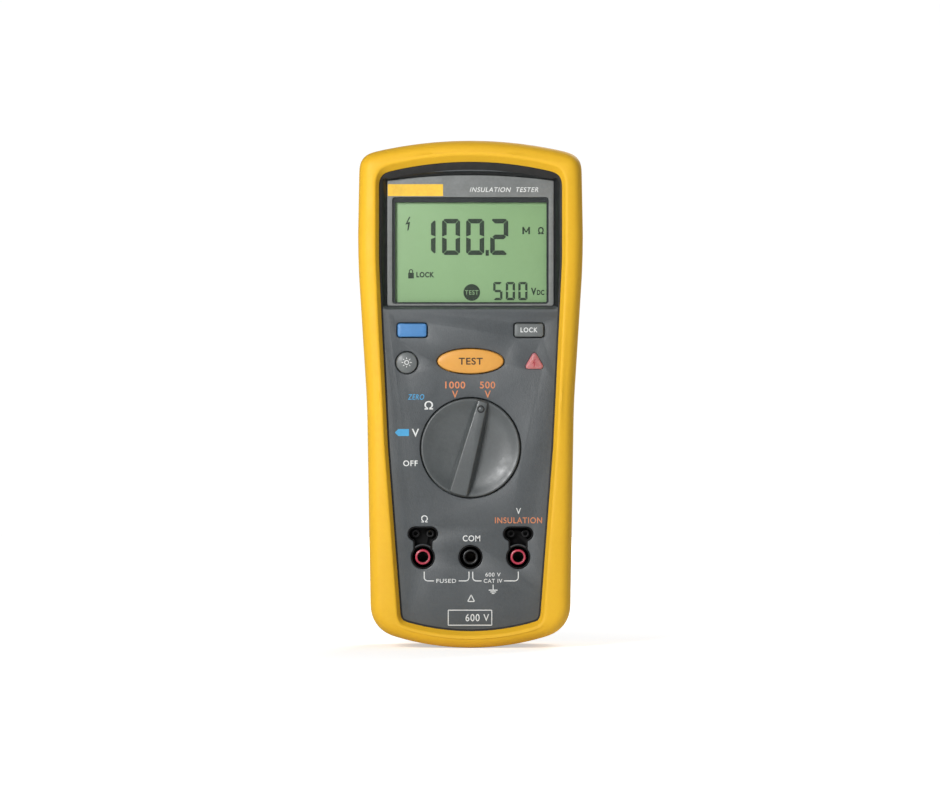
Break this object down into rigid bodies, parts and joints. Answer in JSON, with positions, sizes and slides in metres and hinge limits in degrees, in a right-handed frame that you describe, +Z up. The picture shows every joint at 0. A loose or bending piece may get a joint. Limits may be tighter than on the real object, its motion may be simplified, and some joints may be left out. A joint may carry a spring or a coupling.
{
  "type": "insulation resistance tester",
  "caption": "Handheld insulation resistance tester in a soft holster: sunken display, keys, rotary selector, shrouded input jacks, battery door and tilt stand.",
  "frame": {"origin": "under the middle of the lower end, on the surface that the tester stands on", "axes": "+Z up along the tester's length, -Y out of the face towards the user, +X to the right as the user reads the display"},
  "size_m": [0.09, 0.05, 0.203],
  "materials": {
    "yellow_rubber": "soft satin",
    "grey_plastic": "fine texture",
    "label_grey": "printed",
    "clear_window": "clear",
    "lcd_green": "satin",
    "white_plastic": "satin",
    "black_plastic": "satin",
    "black_rubber": "matte",
    "blue_plastic": "satin",
    "orange_plastic": "satin",
    "red_plastic": "satin",
    "red_lens": "clear",
    "knob_grey": "satin",
    "board_green": "solder mask",
    "steel": "bright",
    "brass": "bright",
    "cell_wrap": "gloss",
    "tape_yellow": "tape",
    "cap_blue": "sleeve"
  },
  "bodies": {
    "tester": {"holster": "yellow_rubber", "front_case": "grey_plastic", "back_case": "grey_plastic", "case_gasket": "black_rubber", "case_screws": "steel", "label_plate": "label_grey", "display_lens": "clear_window", "display_glass": "lcd_green", "light_guide": "white_plastic", "display_frame": "black_plastic", "contact_strips": "black_rubber", "main_board": "board_green", "board_screws": "steel", "microcontroller": "black_plastic", "key_mat": "white_plastic", "warning_lens": "red_lens", "warning_led": "red_lens", "knob_seal": "black_rubber", "detent_spring": "steel", "detent_ball": "steel", "jack_block": "black_plastic", "jack_post_left": "red_plastic", "jack_post_middle": "black_plastic", "jack_post_right": "red_plastic", "jack_sleeve_left": "brass", "jack_sleeve_middle": "brass", "jack_sleeve_right": "brass", "probe_sockets_left": "brass", "probe_sockets_right": "brass", "input_board": "board_green", "board_connector": "black_plastic", "fuse": "white_plastic", "fuse_clips": "brass", "transformer": "tape_yellow", "capacitors": "cap_blue", "relays": "white_plastic", "buzzer": "black_plastic", "insulating_sheet": "tape_yellow", "batteries": "cell_wrap", "battery_springs": "steel", "battery_contacts": "steel", "door_gasket": "black_rubber", "stand_pin": "steel"},
    "selector": {"selector_knob": "knob_grey", "selector_shaft": "steel", "selector_rotor": "white_plastic", "rotor_wipers": "brass", "shaft_clip": "steel"},
    "blue_key": {"blue_key": "blue_plastic"},
    "lock_key": {"lock_key": "grey_plastic"},
    "lamp_key": {"lamp_key": "grey_plastic"},
    "test_key": {"test_key": "orange_plastic"},
    "stand": {"tilt_stand": "grey_plastic"},
    "door": {"battery_door": "grey_plastic"},
    "lock_top": {"door_lock_top": "white_plastic"},
    "lock_foot": {"door_lock_foot": "white_plastic"}
  },
  "joints": [
    {"name": "selector_turn", "type": "hinge", "parent": "tester", "child": "selector", "pos_m": [0, -0.0185, 0.0801], "axis": [0, -1, 0], "range_deg": [0, 120]},
    {"name": "blue_key_press", "type": "slide", "parent": "tester", "child": "blue_key", "axis": [0, 1, 0], "range_m": [0, 0.001], "stiffness_N_per_m": 500, "springref_m": -0.001},
    {"name": "lock_key_press", "type": "slide", "parent": "tester", "child": "lock_key", "axis": [0, 1, 0], "range_m": [0, 0.001], "stiffness_N_per_m": 500, "springref_m": -0.001},
    {"name": "lamp_key_press", "type": "slide", "parent": "tester", "child": "lamp_key", "axis": [0, 1, 0], "range_m": [0, 0.001], "stiffness_N_per_m": 500, "springref_m": -0.001},
    {"name": "test_key_press", "type": "slide", "parent": "tester", "child": "test_key", "axis": [0, 1, 0], "range_m": [0, 0.001], "stiffness_N_per_m": 600, "springref_m": -0.001},
    {"name": "stand_swing", "type": "hinge", "parent": "tester", "child": "stand", "pos_m": [0, 0.0235, 0.177], "axis": [1, 0, 0], "range_deg": [0, 50]},
    {"name": "door_lift", "type": "slide", "parent": "tester", "child": "door", "axis": [0, 1, 0], "range_m": [0, 0.03]},
    {"name": "lock_top_turn", "type": "hinge", "parent": "door", "child": "lock_top", "pos_m": [0, 0.0215, 0.1068], "axis": [0, 1, 0], "range_deg": [0, 90]},
    {"name": "lock_foot_turn", "type": "hinge", "parent": "door", "child": "lock_foot", "pos_m": [0, 0.0215, 0.0242], "axis": [0, 1, 0], "range_deg": [0, 90]}
  ]
}
